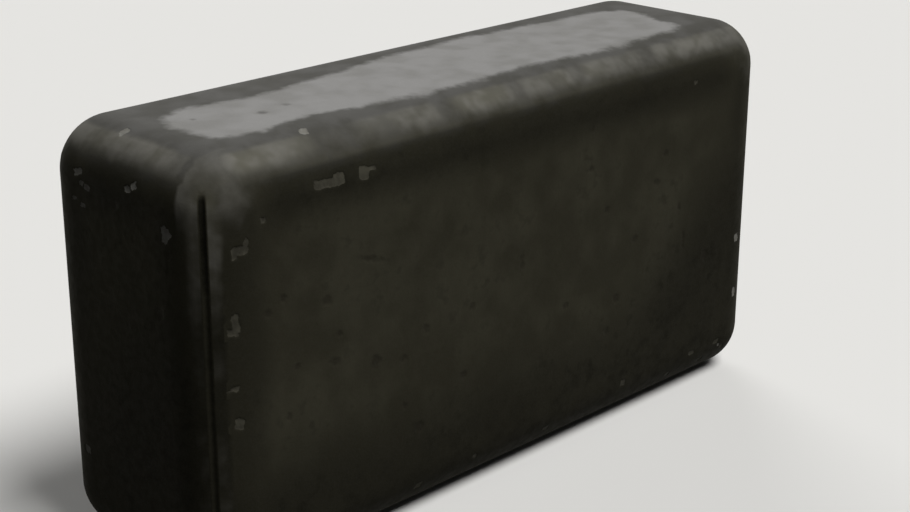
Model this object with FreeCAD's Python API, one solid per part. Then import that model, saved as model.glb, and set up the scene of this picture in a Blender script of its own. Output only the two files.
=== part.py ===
import FreeCAD, Part
import math
import os

# Metal roof trim: a short capping of painted sheet steel with closed ends.
#
# The cap is drawn and folded from one sheet, so it is one solid. Every outside edge has the same
# full radius. The walls turn in at the foot and end in a narrow flat lip, which the cap stands on,
# and the space inside is open from below to take the upstand that the cap covers. At each upright
# corner the side wall and the end wall meet in a welded seam, dressed back to a shallow groove.
#
# Millimetres. X runs along the trim, Y through it from front to back, and Z up. The origin is the
# middle of the foot.

# Driving dimensions
LENGTH = 600.0
DEPTH = 176.0
HEIGHT = 307.0
EDGE_RADIUS = 38.5  # outside radius of all twelve edges
SHEET = 2.0  # thickness of the steel
LIP = 8.0  # flat of the foot, from the end of the bend to the mouth
MOUTH_CORNER_RADIUS = 12.0
SEAM_WIDTH = 4.0
SEAM_DEPTH = 1.0
MITRE = math.radians(45)  # where round each upright bend its seam runs

# Derived sizes
MOUTH_LENGTH = LENGTH - 2 * (EDGE_RADIUS + LIP)
MOUTH_DEPTH = DEPTH - 2 * (EDGE_RADIUS + LIP)
SEAM_RADIUS = (SEAM_WIDTH**2 / 4 + SEAM_DEPTH**2) / (2 * SEAM_DEPTH)
SEAM_LENGTH = HEIGHT - 2 * EDGE_RADIUS

MM3_PER_CM3 = 1000


def centred_box(length, depth, height, foot):
    """A box centred on the Z axis, standing at z = foot."""
    corner = FreeCAD.Vector(-length / 2, -depth / 2, foot)
    return Part.makeBox(length, depth, height, corner)


def rounded_block(inset):
    """The outer shape moved in by inset, with all its edges rounded."""
    block = centred_box(LENGTH - 2 * inset, DEPTH - 2 * inset, HEIGHT - 2 * inset, inset)
    return block.makeFillet(EDGE_RADIUS - inset, block.Edges)


def upright_edges(block):
    """The edges of a box that run along Z."""
    return [e for e in block.Edges if e.BoundBox.ZLength > e.BoundBox.XLength + e.BoundBox.YLength]


def mouth():
    """The opening in the foot, cut right through the sheet."""
    opening = centred_box(MOUTH_LENGTH, MOUTH_DEPTH, 3 * SHEET, -SHEET)
    return opening.makeFillet(MOUTH_CORNER_RADIUS, upright_edges(opening))


def seam(side_x, side_y):
    """The round-bottomed groove down one upright corner, with round ends.

    It follows the middle of the corner's bend, and its own axis stands outside the metal, so that
    it cuts SEAM_DEPTH deep and SEAM_WIDTH wide.
    """
    reach = EDGE_RADIUS + SEAM_RADIUS - SEAM_DEPTH
    x = side_x * (LENGTH / 2 - EDGE_RADIUS + reach * math.cos(MITRE))
    y = side_y * (DEPTH / 2 - EDGE_RADIUS + reach * math.sin(MITRE))
    foot = FreeCAD.Vector(x, y, EDGE_RADIUS)
    head = foot + FreeCAD.Vector(0, 0, SEAM_LENGTH)
    groove = Part.makeCylinder(SEAM_RADIUS, SEAM_LENGTH, foot)
    for end in (foot, head):
        groove = groove.fuse(Part.makeSphere(SEAM_RADIUS, end))
    return groove


def trim_cap():
    """The whole trim: a shell of sheet with its mouth and its four corner seams."""
    cap = rounded_block(0).cut(rounded_block(SHEET)).cut(mouth())
    for side_x in (-1, 1):
        for side_y in (-1, 1):
            cap = cap.cut(seam(side_x, side_y))
    return cap


def main():
    os.makedirs("parts", exist_ok=True)
    cap = trim_cap()
    print(f"trim_cap: {len(cap.Solids)} solid, valid {cap.isValid()}, {cap.Volume / MM3_PER_CM3:.1f} cm3")
    cap.Solids[0].exportStep("parts/trim_cap.step")


main()
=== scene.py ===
import math
import random

import bmesh
import bpy
import numpy as np
from mathutils import Matrix, Vector, noise


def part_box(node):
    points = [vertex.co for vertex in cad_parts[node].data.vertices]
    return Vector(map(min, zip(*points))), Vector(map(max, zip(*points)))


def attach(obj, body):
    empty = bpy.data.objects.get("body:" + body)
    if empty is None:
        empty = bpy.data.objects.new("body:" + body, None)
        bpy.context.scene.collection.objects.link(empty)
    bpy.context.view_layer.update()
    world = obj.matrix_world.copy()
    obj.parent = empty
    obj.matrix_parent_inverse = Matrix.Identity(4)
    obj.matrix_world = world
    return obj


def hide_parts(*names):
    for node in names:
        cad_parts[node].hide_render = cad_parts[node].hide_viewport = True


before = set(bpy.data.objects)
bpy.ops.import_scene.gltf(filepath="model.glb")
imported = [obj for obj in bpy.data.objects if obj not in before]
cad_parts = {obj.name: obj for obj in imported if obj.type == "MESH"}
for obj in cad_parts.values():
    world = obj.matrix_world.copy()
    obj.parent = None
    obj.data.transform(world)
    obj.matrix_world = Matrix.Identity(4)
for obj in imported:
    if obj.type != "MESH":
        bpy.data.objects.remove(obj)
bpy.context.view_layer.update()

# Metres. X runs along the trim, Y through it from front to back, and Z up. The sizes that the CAD
# node's box doesn't give are repeated from the part's source.
MM = 0.001
LOW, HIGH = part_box("trim_cap")
HALF = (HIGH - LOW) / 2
MIDDLE = (HIGH + LOW) / 2
EDGE_RADIUS = 38.5 * MM
SHEET = 2 * MM
LIP = 8 * MM
MOUTH_CORNER_RADIUS = 12 * MM
SEAM_WIDTH = 4 * MM
SEAM_DEPTH = 1 * MM
CORE = HALF - Vector((EDGE_RADIUS,) * 3)  # half sizes of the flats

# The mesh
FLAT_CELL = 4 * MM  # side of a mesh cell on the flats
BEND_CELLS = 9  # mesh cells in 45 degrees of bend
INNER_CELL = 14 * MM  # height of a mesh cell inside, where little shows
RING_ROWS = 3
FINE_CUTS = 3  # cuts to each edge of a cell where a chip or a seam is
FINE_MARGIN = 3 * MM
SIDE_FACING = 0.5  # least share of its normal by which a place belongs to a side
SHARP_ANGLE = math.radians(50)
WELD = 0.01 * MM  # places that round to the same multiple of this are one vertex

# Relief of the sheet
CHIP_DEPTH = 0.35 * MM
PIT_DEPTH = 0.3 * MM
CHIP_SQUARENESS = 6  # 2 gives an ellipse, and more comes nearer to a rectangle
PIT_SQUARENESS = 2
FAR = 20.0  # a distance in mm that is past the reach of any mark
WAVE_HEIGHT = 0.5 * MM
WAVE_LENGTH = 190 * MM
WAVE_ON_BENDS = 0.3  # share of the wave that a bend has
WAVE_FOOT = (2 * MM, 30 * MM)  # it begins and is full this far above the foot
FLAT_FACING = (0.9, 1.0)  # the largest share of the normal on the edge of a flat and on it
CHIP_WALL = (0.4, -0.4)  # mm outside and inside a chip's outline, from no depth to its full depth
PIT_WALL = (0.8, -1.2)
RIPPLE_HEIGHT = 0.14 * MM
RIPPLE_LENGTH = 3.2 * MM
LIP_RISE = 0.15 * MM  # the dressed weld stands this proud beside the groove
SEAM_OVERRUN = 16 * MM  # how far a seam runs on over the ball corner at each end
SEAM_FADE = 6 * MM
RIPPLE_REACH = (1.6, 0.8)  # where the ripple begins and is full, in half widths of the groove
LIP_RISES = (0.9, 1.2)  # and the same for the two slopes of each lip
LIP_FALLS = (1.9, 1.3)
RAGGED_LENGTH = 3.2 * MM  # lumps of the noise that breaks up the edges of the marks
PIT_RAGGED = 1.6  # how much more ragged a pit is than a chip

# Marks, in mm on each side as seen from outside: from the left edge, down from the top edge (on the
# top, from its back edge), width, height, and turn in degrees. A chip shows the grey undercoat, and
# a bare one goes down to the zinc.
CHIPS = {
    "front": [
        (107, 34, 24, 6, 3), (116, 33, 9, 8, 0), (138, 34, 9, 9, 12), (145, 32, 7, 3, 0),
        (51, 46, 4, 3, 0), (32, 62, 11, 6, 4), (36, 59, 4, 8, 20), (28, 63, 4, 8, 0),
        (27, 110, 5, 13, -6), (25, 116, 7, 5, 0), (24, 155, 7, 3, 0), (27, 180, 6, 8, 8),
        (190, 284, 6, 4, 0), (88, 281, 5, 6, 0), (486, 288, 4, 4, 0), (500, 37, 4, 3, 0),
        (421, 274, 5, 5, 0), (512, 275, 7, 4, 0), (547, 275, 6, 4, 0), (530, 287, 5, 3, 0),
        (558, 283, 5, 4, 0), (248, 280, 4, 3, 0), (330, 286, 5, 3, 0),
    ],
}
BARE = {
    "front": [(569, 185, 6, 7, 0), (570, 235, 5, 8, 0), (553, 280, 3, 3, 0)],
    "left": [
        (47, 31, 8, 4, -15), (51, 38, 4, 3, 0), (57, 40, 6, 4, 20), (42, 50, 5, 3, 0),
        (52, 53, 5, 3, 10), (102, 31, 6, 4, -20), (108, 28, 6, 4, -35), (139, 52, 5, 11, 0),
        (142, 52, 6, 6, 45), (36, 236, 6, 5, 0), (131, 262, 7, 5, 0),
    ],
    "top": [(23, 71, 6, 6, 20), (106, 153, 6, 6, 15), (577, 70, 4, 9, 0)],
}
PITS = {
    "front": [
        (65, 103, 6, 6, 0), (52, 110, 6, 6, 0), (103, 115, 8, 7, 0), (113, 142, 5, 5, 0),
        (109, 161, 9, 6, 20), (146, 172, 10, 9, 0), (76, 155, 5, 5, 0), (195, 161, 9, 6, 30),
        (242, 158, 6, 6, 0), (173, 178, 8, 6, 0), (233, 209, 7, 7, 0), (188, 236, 9, 9, 0),
        (464, 89, 6, 6, 0), (454, 110, 8, 5, 10), (428, 152, 7, 6, 0), (407, 197, 7, 8, 0),
        (397, 222, 6, 6, 0), (523, 189, 9, 11, 0), (484, 139, 5, 7, 0), (142, 96, 24, 4, 18),
        (295, 138, 5, 16, 0), (372, 82, 9, 5, 0), (392, 119, 8, 5, 0), (346, 186, 7, 6, 0),
        (67, 188, 5, 5, 0), (174, 214, 5, 5, 0), (492, 168, 4, 12, 0),
    ],
    "left": [(142, 65, 7, 7, 0), (130, 108, 8, 9, 0), (88, 45, 8, 5, 0)],
    "top": [(109, 107, 8, 7, 0), (134, 102, 6, 5, 0), (65, 88, 4, 4, 0)],
}
SCATTER = {"back": (10, 5, 24), "right": (4, 4, 9)}  # how many chips, bare chips and pits
SCATTER_SEED = 11
SCATTER_EDGE = 25  # the nearest that a scattered mark comes to its side's edge
SCATTER_ALONG = 0.7  # under 1, the marks gather towards the two ends,
SCATTER_DOWN = 0.8  # and towards the top and the foot
SCATTER_WIDEST = 9
SCATTER_SHARES = (0.35, 1)
SCATTER_STRETCH = (0.8, 1.5)
SCATTER_TURN = 40

# The outline of the sun-bleached ground on the top, which is also painted paler as top light, in mm from the
# middle
BLEACHED_AND_TOP_LIT = [
    (-257, -5), (-254, -44), (-246, -50), (-217, -54), (-192, -49), (-163, -46), (-130, -55),
    (-20, -58), (5, -54), (114, -58), (206, -55), (224, -48), (229, -21), (240, 3), (236, 23),
    (218, 30), (130, 40), (62, 43), (-6, 40), (-54, 33), (-140, 22), (-176, 16), (-198, 22),
    (-217, 26), (-241, 21), (-249, 14),
]

# Where the paint of the front top edge is rubbed through, in mm from the middle: from, to, strength
RUBBED = [
    (-268, -191, 0.88), (-160, -76, 0.64), (-68, -2, 0.78), (6, 62, 0.76), (72, 148, 0.66),
    (158, 284, 0.68),
]

# The rest of the rubbing. A pair is where an effect begins and where it is full, in mm unless its
# comment says otherwise.
STRIP_UPPER = (19, 33)  # the strip round the top, in degrees of bend down from the top
STRIP_LOWER = (68, 42)
STRIP_RUB = 0.84
FRONT_RUB = 0.4  # between the spans of RUBBED
FRONT_FACING = 0.2  # least share of the normal that points to the front
FRONT_PATCHES = 0.5  # share of the patches that the front has
SPAN_OUTER = 14  # a span fades in from this far outside it
SPAN_INNER = 12  # to this far inside
PATCH_LENGTH = 42 * MM
PATCH_CONTRAST = 0.5
SEAM_SIDE = (17, 7)  # from the seam's line
SEAM_RUB = 0.3
SEAM_TOP = (120, 50)  # down from the top
SEAM_TOP_RUB = 0.32  # added to SEAM_RUB there
SEAM_CLEAR = (3.2, 2)  # nothing rubs the paint down in the groove
# The shoulder: a painted pool of light with some rubbing, high on the front and back near each end
SHOULDER_ALONG = (84, 12)  # from the end
SHOULDER_DOWN = (88, 22)
SHOULDER_FACING = 0.3  # least share of the normal that points to the front or the back
SHOULDER_LIGHT_AND_RUB = 0.5

# The dirt and painted shade round the border of each upright side and in the seams' grooves, in pairs of the
# same kind
TOP_BAND = (68, 36)  # down from the top
TOP_BAND_ENDS = (18, 75)  # from the side's nearer end
TOP_BAND_DIRT_AND_SHADE = 0.9
END_BAND_INNER = (62, 38)  # from the side's nearer end
END_BAND_OUTER = (14, 24)
END_BAND_DIRT_AND_SHADE = 0.65
FOOT_BAND = (128, 44)  # up from the foot
CORNER_BAND = (10, 140)  # past the side's width, of the distance along plus CORNER_SLOPE of it down
CORNER_SLOPE = 1.15
GROOVE_BAND = (2.9, 1.7)  # from the seam's line
GROOVE_TOP = (96, 80)  # down from the top
GROOVE_LOW_SHARE = 0.4  # of the painted shade and dirt in the groove, below that
GROOVE_SHADE_AND_DIRT = 1.4
INSIDE_DIRT = 0.5

# The wandering of the edge of the bleached ground with its painted top light
BLEACH_AND_TOP_LIGHT_LUMPS = (30 * MM, 12 * MM)
BLEACH_AND_TOP_LIGHT_WANDER = 3
BLEACH_AND_TOP_LIGHT_FACING = 0.8  # least share of the normal that points up

# Lumps of the material's noises
FINE_GRAIN = 1.6 * MM
SMALL_GRAIN = 6 * MM
SPOT_GRAIN = 12 * MM
STREAK_GRAIN = 16 * MM
SOFT_GRAIN = 22 * MM
MIDDLE_GRAIN = 24 * MM
BROAD_GRAIN = 95 * MM
STREAK_STRETCH = (1, 1, 0.16)  # makes the lumps long down the sides
BUMP_DISTANCE = 0.5 * MM

# Colours, as sRGB
PAINT = (57, 55, 45)
PAINT_LIGHT = (62, 60, 49)
PAINT_DARK = (51, 49, 39)
# Painted shade with dirt, and the dark spots
DARK_DIRT_AND_SHADE = (22, 21, 15)
# Chalked paint and painted top light on what faces up; the dust is the paler of the two
CHALK_DUST_AND_TOP_LIGHT = (87, 86, 83)
CHALK_AND_TOP_LIGHT_DARK = (77, 76, 72)
# Bleached ground on the top, also painted paler as top light
BLEACH_AND_TOP_LIGHT = (138, 137, 135)
BLEACH_AND_TOP_LIGHT_DARK = (127, 126, 123)
# Rubbed paint, which also carries painted light high near the ends of the front and back
RUB_AND_LIGHT = (115, 113, 106)
RUB_AND_LIGHT_DARK = (99, 97, 87)
UNDERCOAT = (62, 60, 52)
UNDERCOAT_LIGHT = (75, 73, 63)
ZINC = (128, 127, 121)
PIT = (36, 33, 27)
FLOOR = (226, 225, 222)
FLOOR_IN_BOUNCE = (68, 68, 67)
ROOM = (232, 232, 230)
ROOM_FILL = 0.045  # strength of the room's light on the object

# Lamps: the direction that they stand in, irradiance, and width in degrees
KEY = ((0.15, -0.45, 0.88), 0.95, 30)
BACK_FILL = ((0.5, 0.78, 0.4), 0.4, 35)

FLOOR_REACH = 40  # metres from the middle to the floor's edge
FLOOR_GAP = 0.2 * MM

# Camera
AIM = Vector((14 * MM, 0, MIDDLE.z - 5.7 * MM))
CAMERA_DISTANCE = 1.3885
CAMERA_AZIMUTH = math.radians(-45.707)
CAMERA_ELEVATION = math.radians(19.73)
CAMERA_ROLL = math.radians(0.183)
CAMERA_LENS = 69.97  # mm, on a 36 mm sensor
CAMERA_REACH = 200


def linear(colour):
    """An sRGB colour as the four linear numbers that a node takes."""
    parts = [c / 255 for c in colour]
    return [c / 12.92 if c <= 0.04045 else ((c + 0.055) / 1.055) ** 2.4 for c in parts] + [1.0]


def smooth(value, start, end):
    """0 before start, 1 past end, and a smooth step between them. start may be above end."""
    t = np.clip((value - start) / (end - start), 0, 1)
    return t * t * (3 - 2 * t)


def noise_at(points, length, seed):
    """Smooth noise of about -1 to 1 at each point, with lumps of about the given length."""
    offset = Vector((seed * 7.3, seed * 3.1, seed * 5.7))
    return np.array([noise.noise(Vector(p) / length + offset) for p in points])


# ---------------------------------------------------------------------------------------------
# Mesh


def grid_lines(half, cell):
    """Where the mesh lines cross one axis of the square-cornered block: even on the flat, and even
    in angle on the two bends."""
    flat = half - EDGE_RADIUS
    steps = [math.pi / 4 * (i + 1) / BEND_CELLS for i in range(BEND_CELLS)]
    bend = [flat + EDGE_RADIUS * math.tan(angle) for angle in steps]
    straight = np.linspace(-flat, flat, max(2, round(2 * flat / cell)) + 1)
    return np.concatenate([[-b for b in reversed(bend)], straight, bend])


def rounded(point, inset=0.0):
    """The place on the rounded cap, moved in by inset, that a point outside its core stands over."""
    core = Vector([max(-c, min(c, p)) for p, c in zip(point, CORE)])
    return core + (point - core).normalized() * (EDGE_RADIUS - inset)


class Welder:
    """A bmesh that gives the same vertex back for the same place."""

    def __init__(self):
        self.mesh = bmesh.new()
        self.known = {}

    def key(self, place):
        return tuple(round(c / WELD) for c in place)

    def vertex(self, place):
        key = self.key(place)
        if key not in self.known:
            self.known[key] = self.mesh.verts.new(place)
        return self.known[key]

    def face(self, places):
        self.mesh.faces.new([self.vertex(p) for p in places])

    def relearn(self):
        """Finds the vertices again after an operator has changed the mesh."""
        self.known = {self.key(vertex.co): vertex for vertex in self.mesh.verts}


def rectangle_loop(xs, ys):
    """The places round the rectangle that two sets of mesh lines span, once round."""
    loop = [(x, ys[0]) for x in xs[:-1]]
    loop += [(xs[-1], y) for y in ys[:-1]]
    loop += [(x, ys[-1]) for x in xs[:0:-1]]
    loop += [(xs[0], y) for y in ys[:0:-1]]
    return loop


def mouth_place(x, y):
    """The place on the mouth's outline that is opposite a place on the flat's outline."""
    half = Vector((CORE.x - LIP, CORE.y - LIP)) - Vector((MOUTH_CORNER_RADIUS,) * 2)
    core = Vector((max(-half.x, min(half.x, x)), max(-half.y, min(half.y, y))))
    return core + (Vector((x, y)) - core).normalized() * MOUTH_CORNER_RADIUS


def add_skin(welder, inset, upright_cell):
    """One skin of the sheet, from its top down to the mouth. Returns the places round the mouth."""
    lines = [grid_lines(HALF.x, FLAT_CELL), grid_lines(HALF.y, FLAT_CELL), grid_lines(HALF.z, upright_cell)]
    for axis in range(3):
        across, along = (axis + 1) % 3, (axis + 2) % 3
        for side in (-1, 1):
            winding = side if inset == 0 else -side
            for a0, a1 in zip(lines[across], lines[across][1:]):
                for b0, b1 in zip(lines[along], lines[along][1:]):
                    in_foot = axis == 2 and side < 0
                    if in_foot and abs(a0 + a1) / 2 < CORE.x and abs(b0 + b1) / 2 < CORE.y:
                        continue
                    corners = [(a0, b0), (a1, b0), (a1, b1), (a0, b1)][::winding]
                    places = []
                    for a, b in corners:
                        place = Vector((0, 0, 0))
                        place[axis] = side * HALF[axis]
                        place[across] = a
                        place[along] = b
                        places.append(rounded(place, inset))
                    welder.face(places)
    flats = slice(BEND_CELLS, -BEND_CELLS)
    flat_loop = rectangle_loop(lines[0][flats], lines[1][flats])
    rows = []
    for row in range(RING_ROWS + 1):
        share = row / RING_ROWS
        height = inset - HALF.z
        rows.append([Vector((*Vector(p).lerp(mouth_place(*p), share), height)) for p in flat_loop])
    for outer, inner in zip(rows, rows[1:]):
        add_band(welder, outer, inner, inset != 0)
    return rows[-1]


def add_band(welder, first, second, flip):
    """Quads between two closed loops of as many places."""
    for i in range(len(first)):
        j = (i + 1) % len(first)
        places = [first[i], second[i], second[j], first[j]]
        welder.face(places[::-1] if flip else places)


# ---------------------------------------------------------------------------------------------
# Marks on the sheet

SIDES = {  # outward axis, its sign, the axis that runs to the right, its sign, and the one that runs down
    "front": (1, -1, 0, 1, 2),
    "back": (1, 1, 0, -1, 2),
    "left": (0, -1, 1, -1, 2),
    "right": (0, 1, 1, 1, 2),
    "top": (2, 1, 0, 1, 1),
}


def side_places(side, places):
    """Each place as mm from the left edge and mm down from the top edge of one side."""
    _, _, right, right_sign, down = SIDES[side]
    from_left = (places[:, right] * right_sign + HALF[right]) / MM
    from_top = (HALF[down] - places[:, down]) / MM
    return from_left, from_top


def on_side(side, normals):
    """Which places face one side closely enough to take its marks."""
    axis, sign = SIDES[side][:2]
    return normals[:, axis] * sign > SIDE_FACING


def mark_distance(marks, squareness, places, normals):
    """Signed distance in mm to the nearest mark, below 0 inside it."""
    nearest = np.full(len(places), FAR)
    for side, listed in marks.items():
        from_left, from_top = side_places(side, places)
        facing = on_side(side, normals)
        for along, down, width, height, turn in listed:
            angle = math.radians(turn)
            across = (from_left - along) * math.cos(angle) + (from_top - down) * math.sin(angle)
            up = (from_top - down) * math.cos(angle) - (from_left - along) * math.sin(angle)
            shares = np.abs([across * 2 / width, up * 2 / height])
            reach = (shares**squareness).sum(axis=0) ** (1 / squareness)
            distance = (reach - 1) * min(width, height) / 2
            nearest = np.where(facing, np.minimum(nearest, distance), nearest)
    return nearest


def scattered(count, side, rng):
    """Random marks, thicker towards the side's edges."""
    _, _, right, _, down = SIDES[side]
    width, height = 2 * HALF[right] / MM, 2 * HALF[down] / MM
    marks = []
    for _ in range(count):
        along = rng.betavariate(SCATTER_ALONG, SCATTER_ALONG) * (width - 2 * SCATTER_EDGE) + SCATTER_EDGE
        below = rng.betavariate(SCATTER_DOWN, SCATTER_DOWN) * (height - 2 * SCATTER_EDGE) + SCATTER_EDGE
        size = rng.uniform(*SCATTER_SHARES) * SCATTER_WIDEST
        longer = size * rng.uniform(*SCATTER_STRETCH)
        marks.append((along, below, longer, size, rng.uniform(-SCATTER_TURN, SCATTER_TURN)))
    return marks


def all_marks():
    """Every chip, bare chip and pit: the listed ones, and those scattered on the other sides."""
    rng = random.Random(SCATTER_SEED)
    chips, bare, pits = dict(CHIPS), dict(BARE), dict(PITS)
    for side, counts in SCATTER.items():
        chips[side], bare[side], pits[side] = [scattered(count, side, rng) for count in counts]
    return chips, bare, pits


def outline_distance(x, y, outline):
    """Signed distance in mm from a closed outline in the plane, below 0 inside it."""
    nearest = np.full(len(x), np.inf)
    inside = np.zeros(len(x), bool)
    for (x0, y0), (x1, y1) in zip(outline, outline[1:] + outline[:1]):
        run, rise = x1 - x0, y1 - y0
        share = np.clip(((x - x0) * run + (y - y0) * rise) / (run**2 + rise**2), 0, 1)
        nearest = np.minimum(nearest, np.hypot(x - x0 - share * run, y - y0 - share * rise))
        if rise:
            inside ^= ((y0 > y) != (y1 > y)) & (x < x0 + (y - y0) * run / rise)
    return np.where(inside, -nearest, nearest)


def seam_offset(places):
    """Distance in metres round the bend from the seam line of the nearest upright corner."""
    x = np.abs(places[:, 0]) - CORE.x
    y = np.abs(places[:, 1]) - CORE.y
    angle = np.arctan2(np.maximum(y, 0), np.maximum(x, 0))
    on_bend = (x > 0) & (y > 0)
    return np.where(on_bend, EDGE_RADIUS * (angle - math.pi / 4), EDGE_RADIUS)


def seam_span(places):
    """1 along the seam's length, fading to 0 just inside the ball corners at its two ends."""
    return smooth(CORE.z + SEAM_OVERRUN - np.abs(places[:, 2]), 0, SEAM_FADE)


def fine_zone(places, marks):
    """Which places are near enough to a mark or a seam to have the fine mesh."""
    normals = outward(places)
    chips, bare, pits = marks
    nearest = mark_distance(chips, CHIP_SQUARENESS, places, normals)
    nearest = np.minimum(nearest, mark_distance(bare, CHIP_SQUARENESS, places, normals))
    nearest = np.minimum(nearest, mark_distance(pits, PIT_SQUARENESS, places, normals))
    near_seam = np.abs(seam_offset(places)) < SEAM_WIDTH
    near_seam &= np.abs(places[:, 2]) < CORE.z + SEAM_OVERRUN
    return (nearest < FINE_MARGIN / MM) | near_seam


def outward(places):
    """Unit vectors out of the rounded surface."""
    core = np.clip(places, -np.array(CORE), np.array(CORE))
    out = places - core
    return out / np.linalg.norm(out, axis=1)[:, None]


def wear_and_light_at(places, normals):
    """How far the paint is rubbed, with a painted pool of light high near the ends of the front and back, 0
    to 1, before the material breaks it up.
    """
    from_up = np.degrees(np.arccos(np.clip(normals[:, 2], -1, 1)))
    strip = smooth(from_up, *STRIP_UPPER) * smooth(from_up, *STRIP_LOWER)
    patches = PATCH_CONTRAST * noise_at(places, PATCH_LENGTH, seed=3)
    x = places[:, 0] / MM
    front_rub = np.full(len(places), FRONT_RUB)
    for start, end, strength in RUBBED:
        span = strength * smooth(x, start - SPAN_OUTER, start + SPAN_INNER)
        span *= smooth(x, end + SPAN_OUTER, end - SPAN_INNER)
        front_rub = np.maximum(front_rub, span)
    on_front = normals[:, 1] < -FRONT_FACING
    strip *= np.where(on_front, front_rub + FRONT_PATCHES * patches, STRIP_RUB + patches)

    from_seam = np.abs(seam_offset(places)) / MM
    from_top = (HALF.z - places[:, 2]) / MM
    from_end = (HALF.x - np.abs(places[:, 0])) / MM
    beside = smooth(from_seam, *SEAM_SIDE) * (SEAM_RUB + SEAM_TOP_RUB * smooth(from_top, *SEAM_TOP))
    beside *= seam_span(places)
    # Painted light with some rubbing, high near the ends of the front and back
    shoulder_light_and_rub = SHOULDER_LIGHT_AND_RUB * smooth(from_end, *SHOULDER_ALONG) * smooth(from_top, *SHOULDER_DOWN)
    shoulder_light_and_rub *= np.abs(normals[:, 1]) > SHOULDER_FACING
    clear = 1 - smooth(from_seam, *SEAM_CLEAR) * seam_span(places)
    return np.clip(np.maximum(strip, np.maximum(beside, shoulder_light_and_rub)) * clear, 0, 1)


def dirt_and_shade_at(places, normals):
    """How thick the dirt and painted shade lie: round the border of each upright side, over its lower right
    part, and in the seams' grooves.
    """
    border = np.zeros(len(places))
    for side in ("front", "back", "left", "right"):
        from_left, from_top = side_places(side, places)
        right = SIDES[side][2]
        width, height = 2 * HALF[right] / MM, 2 * HALF.z / MM
        from_end = np.minimum(from_left, width - from_left)
        top = smooth(from_top, *TOP_BAND) * smooth(from_end, *TOP_BAND_ENDS) * TOP_BAND_DIRT_AND_SHADE
        ends = smooth(from_end, *END_BAND_INNER) * smooth(from_end, *END_BAND_OUTER) * END_BAND_DIRT_AND_SHADE
        foot = smooth(height - from_top, *FOOT_BAND)
        corner_start, corner_end = [width + past for past in CORNER_BAND]
        corner = smooth(from_left + CORNER_SLOPE * from_top, corner_start, corner_end)
        band = np.maximum(np.maximum(top, ends), np.maximum(foot, corner))
        border = np.where(on_side(side, normals), band, border)
    border = np.where(normals[:, 2] > SIDE_FACING, 0, border)
    from_top = (HALF.z - places[:, 2]) / MM
    # Painted shade with dirt in the seam's groove, darkest in its top part
    groove = smooth(np.abs(seam_offset(places)) / MM, *GROOVE_BAND) * seam_span(places)
    groove *= GROOVE_LOW_SHARE + (1 - GROOVE_LOW_SHARE) * smooth(from_top, *GROOVE_TOP)
    return np.clip(np.maximum(border, groove * GROOVE_SHADE_AND_DIRT), 0, GROOVE_SHADE_AND_DIRT)


def seam_band(offset, band):
    """smooth() between two distances from the seam's line that are in half widths of the groove."""
    start, end = [SEAM_WIDTH / 2 * share for share in band]
    return smooth(offset, start, end)


def displace(places, normals, chip, pit):
    """Moves the outer skin's places by the relief of the sheet, the seams and the lost paint."""
    depth = CHIP_DEPTH * smooth(chip, *CHIP_WALL)
    depth = np.maximum(depth, PIT_DEPTH * smooth(pit, *PIT_WALL))
    flat = smooth(normals.max(axis=1), *FLAT_FACING) + smooth(-normals.min(axis=1), *FLAT_FACING)
    foot = smooth(places[:, 2] + HALF.z, *WAVE_FOOT)
    wave = WAVE_HEIGHT * (0.5 + 0.5 * noise_at(places, WAVE_LENGTH, seed=5))
    depth += wave * np.clip(flat, WAVE_ON_BENDS, 1) * foot
    offset = np.abs(seam_offset(places))
    groove = SEAM_DEPTH * np.clip(1 - (offset / (SEAM_WIDTH / 2)) ** 2, 0, 1)
    groove += RIPPLE_HEIGHT * noise_at(places, RIPPLE_LENGTH, seed=9) * seam_band(offset, RIPPLE_REACH)
    lip = LIP_RISE * seam_band(offset, LIP_RISES) * seam_band(offset, LIP_FALLS)
    depth += (groove - lip) * seam_span(places)
    return places - normals * depth[:, None]


def refine(mesh, marks):
    """Cuts the cells near the marks and the seams more finely."""
    centres = np.array([f.calc_center_median() for f in mesh.faces])
    fine = fine_zone(centres, marks) & (centres[:, 2] > -HALF.z + MM)
    edges = dict.fromkeys(e for f, is_fine in zip(mesh.faces, fine) if is_fine for e in f.edges)
    bmesh.ops.subdivide_edges(mesh, edges=list(edges), cuts=FINE_CUTS, use_grid_fill=True)


def layers_at(places, normals, marks):
    """What the material reads at each place: distances in mm from the marks and from the bleached ground
    with its painted top light, wear with some painted light, and dirt with painted shade.
    """
    chips, bare_chips, pits = marks
    ragged = noise_at(places, RAGGED_LENGTH, seed=1)
    bleach_and_top_light = outline_distance(places[:, 0] / MM, places[:, 1] / MM, BLEACHED_AND_TOP_LIT)
    for length, seed in zip(BLEACH_AND_TOP_LIGHT_LUMPS, (2, 4)):
        bleach_and_top_light += BLEACH_AND_TOP_LIGHT_WANDER * noise_at(places, length, seed)
    return {
        "chip": mark_distance(chips, CHIP_SQUARENESS, places, normals) + ragged,
        "bare": mark_distance(bare_chips, CHIP_SQUARENESS, places, normals) + ragged,
        "pit": mark_distance(pits, PIT_SQUARENESS, places, normals) + PIT_RAGGED * ragged,
        "bleach_and_top_light": np.where(normals[:, 2] > BLEACH_AND_TOP_LIGHT_FACING, bleach_and_top_light, FAR),
        "wear_and_light": wear_and_light_at(places, normals),
        "dirt_and_shade": dirt_and_shade_at(places, normals),
    }


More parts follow.
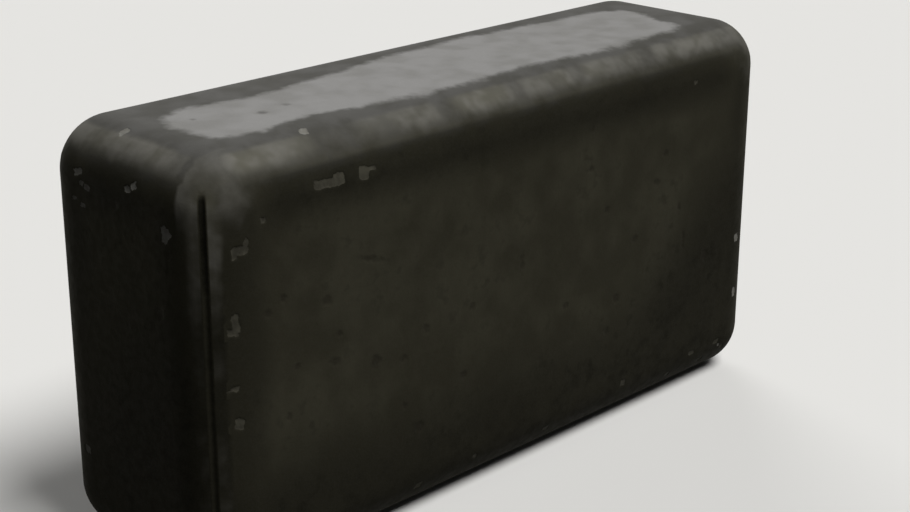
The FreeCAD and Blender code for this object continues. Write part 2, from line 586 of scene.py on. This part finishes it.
def make_cap():
    """The painted cap: its outer skin with all the relief, its inner skin, and the mouth's edge."""
    marks = all_marks()
    outer = Welder()
    mouth_low = add_skin(outer, 0.0, FLAT_CELL)
    mesh = outer.mesh
    refine(mesh, marks)

    on_ring = [abs(v.co.z + HALF.z) < 0.001 * MM for v in mesh.verts]
    places = np.array([v.co if ring else rounded(v.co) for v, ring in zip(mesh.verts, on_ring)])
    normals = outward(places)
    layers = layers_at(places, normals, marks)
    lost_paint = np.minimum(layers["chip"], layers["bare"])
    moved = displace(places, normals, lost_paint, layers["pit"])
    for vertex, place, ring in zip(mesh.verts, moved, on_ring):
        if not ring:
            vertex.co = place
    outer_count = len(mesh.verts)
    outer.relearn()

    mouth_high = add_skin(outer, SHEET, INNER_CELL)
    add_band(outer, mouth_low, mouth_high, False)
    bmesh.ops.translate(mesh, verts=mesh.verts, vec=MIDDLE)
    data = bpy.data.meshes.new("painted_cap")
    mesh.to_mesh(data)
    mesh.free()
    data.shade_smooth()
    data.set_sharp_from_angle(angle=SHARP_ANGLE)
    inside = {"wear_and_light": 0.0, "dirt_and_shade": INSIDE_DIRT}
    for name, values in layers.items():
        everywhere = np.full(len(data.vertices), inside.get(name, FAR))
        everywhere[:outer_count] = values
        data.attributes.new(name, "FLOAT", "POINT").data.foreach_set("value", everywhere)
    cap = bpy.data.objects.new("painted_cap", data)
    bpy.context.collection.objects.link(cap)
    return cap


# ---------------------------------------------------------------------------------------------
# Material


class Nodes:
    """Short calls for the nodes that the materials are made of."""

    def __init__(self, material):
        material.use_nodes = True
        self.tree = material.node_tree
        self.tree.nodes.clear()

    def add(self, kind, inputs=(), **settings):
        node = self.tree.nodes.new(kind)
        for name, value in settings.items():
            setattr(node, name, value)
        for socket, value in dict(inputs).items():
            if isinstance(value, bpy.types.NodeSocket):
                self.tree.links.new(value, node.inputs[socket])
            else:
                node.inputs[socket].default_value = value
        return node

    def attribute(self, name):
        return self.add("ShaderNodeAttribute", attribute_name=name).outputs["Fac"]

    def noise(self, length, detail=4, roughness=0.55, stretch=(1, 1, 1)):
        """Noise of about 0 to 1 with lumps of the given length in metres."""
        place = self.add("ShaderNodeTexCoord").outputs["Object"]
        scaled = self.add("ShaderNodeMapping", {"Vector": place, "Scale": stretch}).outputs["Vector"]
        sizes = {"Vector": scaled, "Scale": 1 / length, "Detail": detail, "Roughness": roughness}
        return self.add("ShaderNodeTexNoise", sizes).outputs["Fac"]

    def math(self, operation, a, b=0.0, clamp=False):
        return self.add("ShaderNodeMath", {0: a, 1: b}, operation=operation, use_clamp=clamp).outputs[0]

    def step(self, value, start, end, low=0.0, high=1.0):
        """low before start, high past end, smooth between."""
        sizes = {"Value": value, "From Min": start, "From Max": end, "To Min": low, "To Max": high}
        return self.add("ShaderNodeMapRange", sizes, interpolation_type="SMOOTHSTEP").outputs["Result"]

    def mix(self, share, first, second):
        """first where share is 0, second where it is 1. Colours are sRGB or sockets."""
        ends = [c if isinstance(c, bpy.types.NodeSocket) else linear(c) for c in (first, second)]
        node = self.add("ShaderNodeMix", {"Factor": share}, data_type="RGBA")
        for socket, colour in zip((node.inputs[6], node.inputs[7]), ends):
            if isinstance(colour, bpy.types.NodeSocket):
                self.tree.links.new(colour, socket)
            else:
                socket.default_value = colour
        return node.outputs[2]


def weathered_paint():
    """Dark olive-grey paint: dirty with painted shade round the upright sides' borders and in the grooves,
    chalked and bleached on top with painted top light, rubbed at the bends with a painted pool of light near
    the ends, and chipped.

    The noises run from about 0.3 to 0.7, so a step on one of them is between two levels in there.
    """
    material = bpy.data.materials.new("weathered_paint")
    n = Nodes(material)
    fine = n.noise(FINE_GRAIN, detail=3)
    small = n.noise(SMALL_GRAIN)
    middling = n.noise(MIDDLE_GRAIN, detail=5)
    broad = n.noise(BROAD_GRAIN)
    streaks = n.noise(STREAK_GRAIN, stretch=STREAK_STRETCH)
    soft = n.noise(SOFT_GRAIN, detail=2)
    spotty = n.noise(SPOT_GRAIN, detail=2)

    blotch = n.math("ADD", n.math("MULTIPLY", broad, 0.6), n.math("MULTIPLY", middling, 0.4))
    colour = n.mix(n.step(blotch, 0.4, 0.6), PAINT_DARK, PAINT_LIGHT)
    colour = n.mix(n.step(small, 0.35, 0.65, 0, 0.35), colour, PAINT)
    colour = n.mix(n.step(streaks, 0.52, 0.72, 0, 0.3), colour, PAINT_DARK)

    # Painted shade with dirt round the borders of the upright sides and in the grooves
    dirt_and_shade_share = n.math("MULTIPLY", n.attribute("dirt_and_shade"), n.step(middling, 0.25, 0.75, 0.55, 0.85))
    colour = n.mix(dirt_and_shade_share, colour, DARK_DIRT_AND_SHADE)
    spots = n.step(spotty, 0.56, 0.76, 0, 0.26)
    colour = n.mix(n.math("MULTIPLY", spots, n.step(broad, 0.35, 0.6)), colour, DARK_DIRT_AND_SHADE)

    # Painted top light with chalking: what faces up is paler, by the upward share of its normal
    normal = n.add("ShaderNodeTexCoord").outputs["Normal"]
    upward = n.add("ShaderNodeSeparateXYZ", {"Vector": normal}).outputs["Z"]
    lift = n.math("ADD", upward, n.math("MULTIPLY", n.math("SUBTRACT", middling, 0.5), 0.25))
    chalk_and_top_light = n.step(lift, 0.27, 0.98)
    chalk_and_top_light_colour = n.mix(n.step(middling, 0.38, 0.62), CHALK_AND_TOP_LIGHT_DARK, CHALK_DUST_AND_TOP_LIGHT)
    colour = n.mix(chalk_and_top_light, colour, chalk_and_top_light_colour)

    # Rubbed paint at the bends, and painted light high near the ends of the front and back
    rub_noise = n.math("ADD", n.math("MULTIPLY", small, 0.15), n.math("MULTIPLY", soft, 0.85))
    rub_level = n.math("MULTIPLY", n.math("SUBTRACT", rub_noise, 0.5), 0.75)
    rub_and_light = n.step(n.math("ADD", n.attribute("wear_and_light"), rub_level), 0.18, 1.05)
    colour = n.mix(rub_and_light, colour, n.mix(n.step(soft, 0.35, 0.6), RUB_AND_LIGHT_DARK, RUB_AND_LIGHT))

    # The bleached ground on the top, painted paler also as top light
    frayed = n.math("MULTIPLY", n.math("SUBTRACT", small, 0.5), 9)
    bleach_and_top_light = n.step(n.math("ADD", n.attribute("bleach_and_top_light"), frayed), 5, -5)
    bleach_and_top_light_tone = n.math("ADD", n.math("MULTIPLY", middling, 0.6), n.math("MULTIPLY", broad, 0.4))
    colour = n.mix(bleach_and_top_light, colour, n.mix(n.step(bleach_and_top_light_tone, 0.36, 0.58), BLEACH_AND_TOP_LIGHT_DARK, BLEACH_AND_TOP_LIGHT))

    ragged = n.math("MULTIPLY", n.math("SUBTRACT", fine, 0.5), 1.6)
    chip = n.step(n.math("ADD", n.attribute("chip"), ragged), 0.25, -0.25)
    colour = n.mix(chip, colour, n.mix(n.step(small, 0.35, 0.65), UNDERCOAT, UNDERCOAT_LIGHT))
    bare = n.step(n.math("ADD", n.attribute("bare"), ragged), 0.25, -0.25)
    colour = n.mix(bare, colour, n.mix(n.step(small, 0.35, 0.65), ZINC, RUB_AND_LIGHT))
    pit = n.step(n.math("ADD", n.attribute("pit"), ragged), 2.2, -3, 0, 0.48)
    colour = n.mix(pit, colour, PIT)

    dust = n.step(fine, 0.3, 0.75, 0, 0.05)
    colour = n.mix(dust, colour, CHALK_DUST_AND_TOP_LIGHT)

    roughness = n.step(small, 0.3, 0.7, 0.58, 0.72)
    roughness = n.math("ADD", roughness, n.math("MULTIPLY", n.math("MAXIMUM", chalk_and_top_light, rub_and_light), 0.16), clamp=True)

    relief = n.math("ADD", n.math("MULTIPLY", small, 0.5), n.math("MULTIPLY", fine, 0.35))
    relief = n.math("ADD", relief, n.math("MULTIPLY", middling, 1.2))
    relief = n.math("SUBTRACT", relief, n.math("MULTIPLY", n.math("MAXIMUM", chip, bare), 0.6))
    bump = n.add("ShaderNodeBump", {"Strength": 0.35, "Distance": BUMP_DISTANCE, "Height": relief})
    shader = n.add(
        "ShaderNodeBsdfPrincipled",
        {
            "Base Color": colour,
            "Roughness": roughness,
            "Specular IOR Level": 0.02,
            "Normal": bump.outputs["Normal"],
        },
    )
    n.add("ShaderNodeOutputMaterial", {"Surface": shader.outputs["BSDF"]})
    return material


# ---------------------------------------------------------------------------------------------
# Studio


def seen_directly(n):
    """1 for a ray from the camera, and for one seen in gloss or through glass."""
    path = n.add("ShaderNodeLightPath")
    gloss = n.math("MAXIMUM", path.outputs["Is Glossy Ray"], path.outputs["Is Transmission Ray"])
    return n.math("MAXIMUM", path.outputs["Is Camera Ray"], gloss)


def add_floor():
    """A plain pale floor that throws little light back up at the object."""
    mesh = bpy.data.meshes.new("floor")
    corners = [(x * FLOOR_REACH, y * FLOOR_REACH, 0) for x, y in ((-1, -1), (1, -1), (1, 1), (-1, 1))]
    mesh.from_pydata(corners, [], [(0, 1, 2, 3)])
    floor = bpy.data.objects.new("floor", mesh)
    bpy.context.collection.objects.link(floor)
    floor.location.z = LOW.z - FLOOR_GAP
    material = bpy.data.materials.new("floor")
    n = Nodes(material)
    colour = n.mix(seen_directly(n), FLOOR_IN_BOUNCE, FLOOR)
    shader = n.add("ShaderNodeBsdfDiffuse", {"Color": colour})
    n.add("ShaderNodeOutputMaterial", {"Surface": shader.outputs["BSDF"]})
    mesh.materials.append(material)


def add_room():
    """The world: pale to look at, and a weak even fill for the object."""
    world = bpy.data.worlds.new("room")
    bpy.context.scene.world = world
    n = Nodes(world)
    strength = n.step(seen_directly(n), 0, 1, ROOM_FILL, 1)
    background = n.add("ShaderNodeBackground", {"Color": linear(ROOM), "Strength": strength})
    n.add("ShaderNodeOutputWorld", {"Surface": background.outputs["Background"]})


def add_sun(name, towards, irradiance, width):
    """A far, wide, soft lamp. An irradiance of 1 shows a colour that faces it as it is written."""
    lamp = bpy.data.lights.new(name, "SUN")
    lamp.energy = math.pi * irradiance
    lamp.angle = math.radians(width)
    sun = bpy.data.objects.new(name, lamp)
    sun.rotation_euler = Vector(towards).to_track_quat("Z", "Y").to_euler()
    bpy.context.collection.objects.link(sun)


def add_camera():
    """The camera, high off the left end of the front."""
    away = Vector(
        (
            math.sin(CAMERA_AZIMUTH) * math.cos(CAMERA_ELEVATION),
            -math.cos(CAMERA_AZIMUTH) * math.cos(CAMERA_ELEVATION),
            math.sin(CAMERA_ELEVATION),
        )
    )
    camera = bpy.data.objects.new("camera", bpy.data.cameras.new("camera"))
    camera.data.lens = CAMERA_LENS
    camera.data.clip_end = CAMERA_REACH
    turn = (-away).to_track_quat("-Z", "Y").to_matrix() @ Matrix.Rotation(CAMERA_ROLL, 3, "Z")
    camera.matrix_world = Matrix.Translation(AIM + away * CAMERA_DISTANCE) @ turn.to_4x4()
    bpy.context.collection.objects.link(camera)
    bpy.context.scene.camera = camera


add_camera()
cap = make_cap()
cap.data.materials.append(weathered_paint())
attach(cap, "root")
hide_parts("trim_cap")

add_floor()
add_room()
add_sun("key", *KEY)
add_sun("back_fill", *BACK_FILL)
bpy.context.scene.view_settings.view_transform = "Standard"
